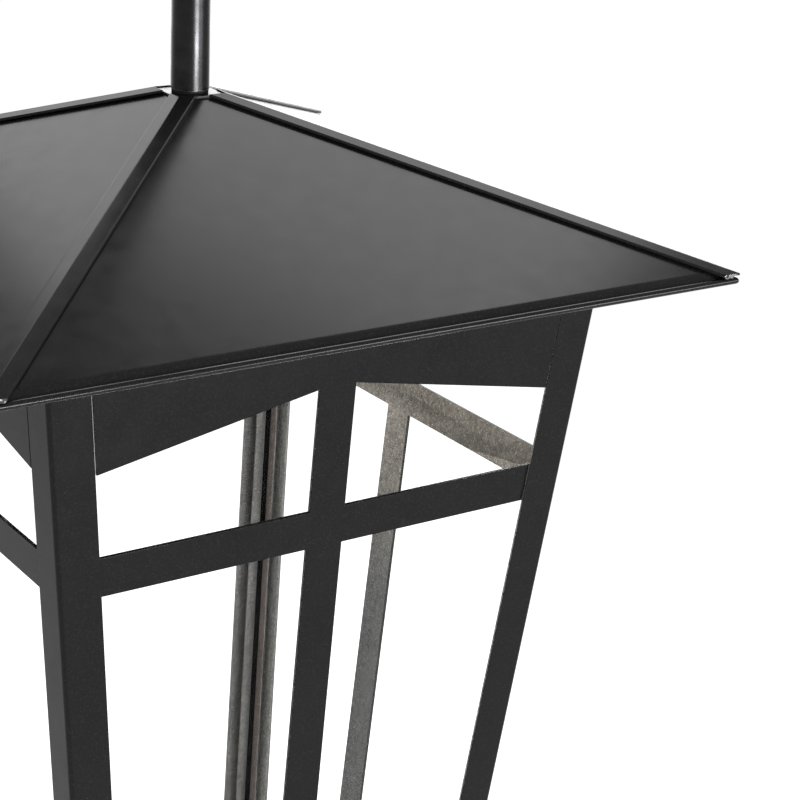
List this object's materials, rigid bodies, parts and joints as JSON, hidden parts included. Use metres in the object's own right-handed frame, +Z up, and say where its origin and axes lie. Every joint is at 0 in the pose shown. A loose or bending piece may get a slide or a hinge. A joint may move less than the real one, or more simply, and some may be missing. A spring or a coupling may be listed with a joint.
{
  "type": "pendant light",
  "caption": "Square tapered lantern pendant with a hipped roof, glazed cross-barred sides, a rigid stem, a swivel and a square ceiling canopy.",
  "frame": {"origin": "centre of the mounting strap's top face, on the ceiling plane and on the stem's axis", "axes": "+Z up towards the ceiling along the stem, -Y the front face of the lantern, X to the right across it"},
  "size_m": [0.4064, 0.4064, 1.0845],
  "materials": {
    "satin_black": "satin black powder coat",
    "dark_metal": "polished dark gunmetal plate",
    "zinc_steel": "bright zinc plate",
    "gasket_rubber": "matt moulded",
    "clear_glass": "clear flat glass",
    "brass": "stamped brass",
    "white_porcelain": "white glazed",
    "bulb_metal": "rolled screw base",
    "frosted_glass": "frosted",
    "green_paint": "green dyed zinc"
  },
  "bodies": {
    "ceiling_part": {"mounting_strap": "zinc_steel", "strap_studs": "zinc_steel", "canopy": "satin_black", "canopy_cap_nuts": "satin_black", "ground_screw": "green_paint", "swivel_spindle": "dark_metal", "spindle_lock_nut": "zinc_steel"},
    "swivel": {"swivel_housing": "dark_metal", "swivel_pin": "dark_metal"},
    "lantern": {"stem_knuckle": "dark_metal", "upper_stem": "dark_metal", "stem_coupling": "zinc_steel", "lower_stem": "dark_metal", "stem_gasket": "gasket_rubber", "apex_plate": "satin_black", "stem_nipple": "zinc_steel", "roof_panel_front": "satin_black", "roof_panel_right": "satin_black", "roof_panel_back": "satin_black", "roof_panel_left": "satin_black", "hip_cap_front_left": "satin_black", "hip_cap_front_right": "satin_black", "hip_cap_back_right": "satin_black", "hip_cap_back_left": "satin_black", "head_frame": "satin_black", "corner_post_front_left": "satin_black", "corner_post_front_right": "satin_black", "corner_post_back_right": "satin_black", "corner_post_back_left": "satin_black", "chevron_band_front": "satin_black", "chevron_band_right": "satin_black", "chevron_band_back": "satin_black", "chevron_band_left": "satin_black", "window_cross_front": "satin_black", "window_cross_right": "satin_black", "window_cross_back": "satin_black", "window_cross_left": "satin_black", "glass_pane_front": "clear_glass", "glass_pane_right": "clear_glass", "glass_pane_back": "clear_glass", "glass_pane_left": "clear_glass", "glazing_channel_front_left": "satin_black", "glazing_channel_front_right": "satin_black", "glazing_channel_back_right": "satin_black", "glazing_channel_back_left": "satin_black", "base_frame": "satin_black", "hanger_strap": "zinc_steel", "strap_screws": "zinc_steel", "lock_washer": "zinc_steel", "nipple_nut": "zinc_steel", "lampholder_cap": "brass", "lampholder_body": "white_porcelain", "screw_shell": "brass", "center_contact": "brass"},
    "bulb": {"bulb_base": "bulb_metal", "bulb_glass": "frosted_glass"}
  },
  "joints": [
    {"name": "swivel_turn", "type": "hinge", "parent": "ceiling_part", "child": "swivel", "pos_m": [0, 0, -0.0311], "axis": [0, 0, 1], "range_deg": [-170, 170]},
    {"name": "swivel_tilt", "type": "hinge", "parent": "swivel", "child": "lantern", "pos_m": [0, 0, -0.0491], "axis": [1, 0, 0], "range_deg": [-45, 45]},
    {"name": "bulb_out", "type": "slide", "parent": "lantern", "child": "bulb", "axis": [0, 0, -1], "range_m": [0, 0.03]}
  ]
}
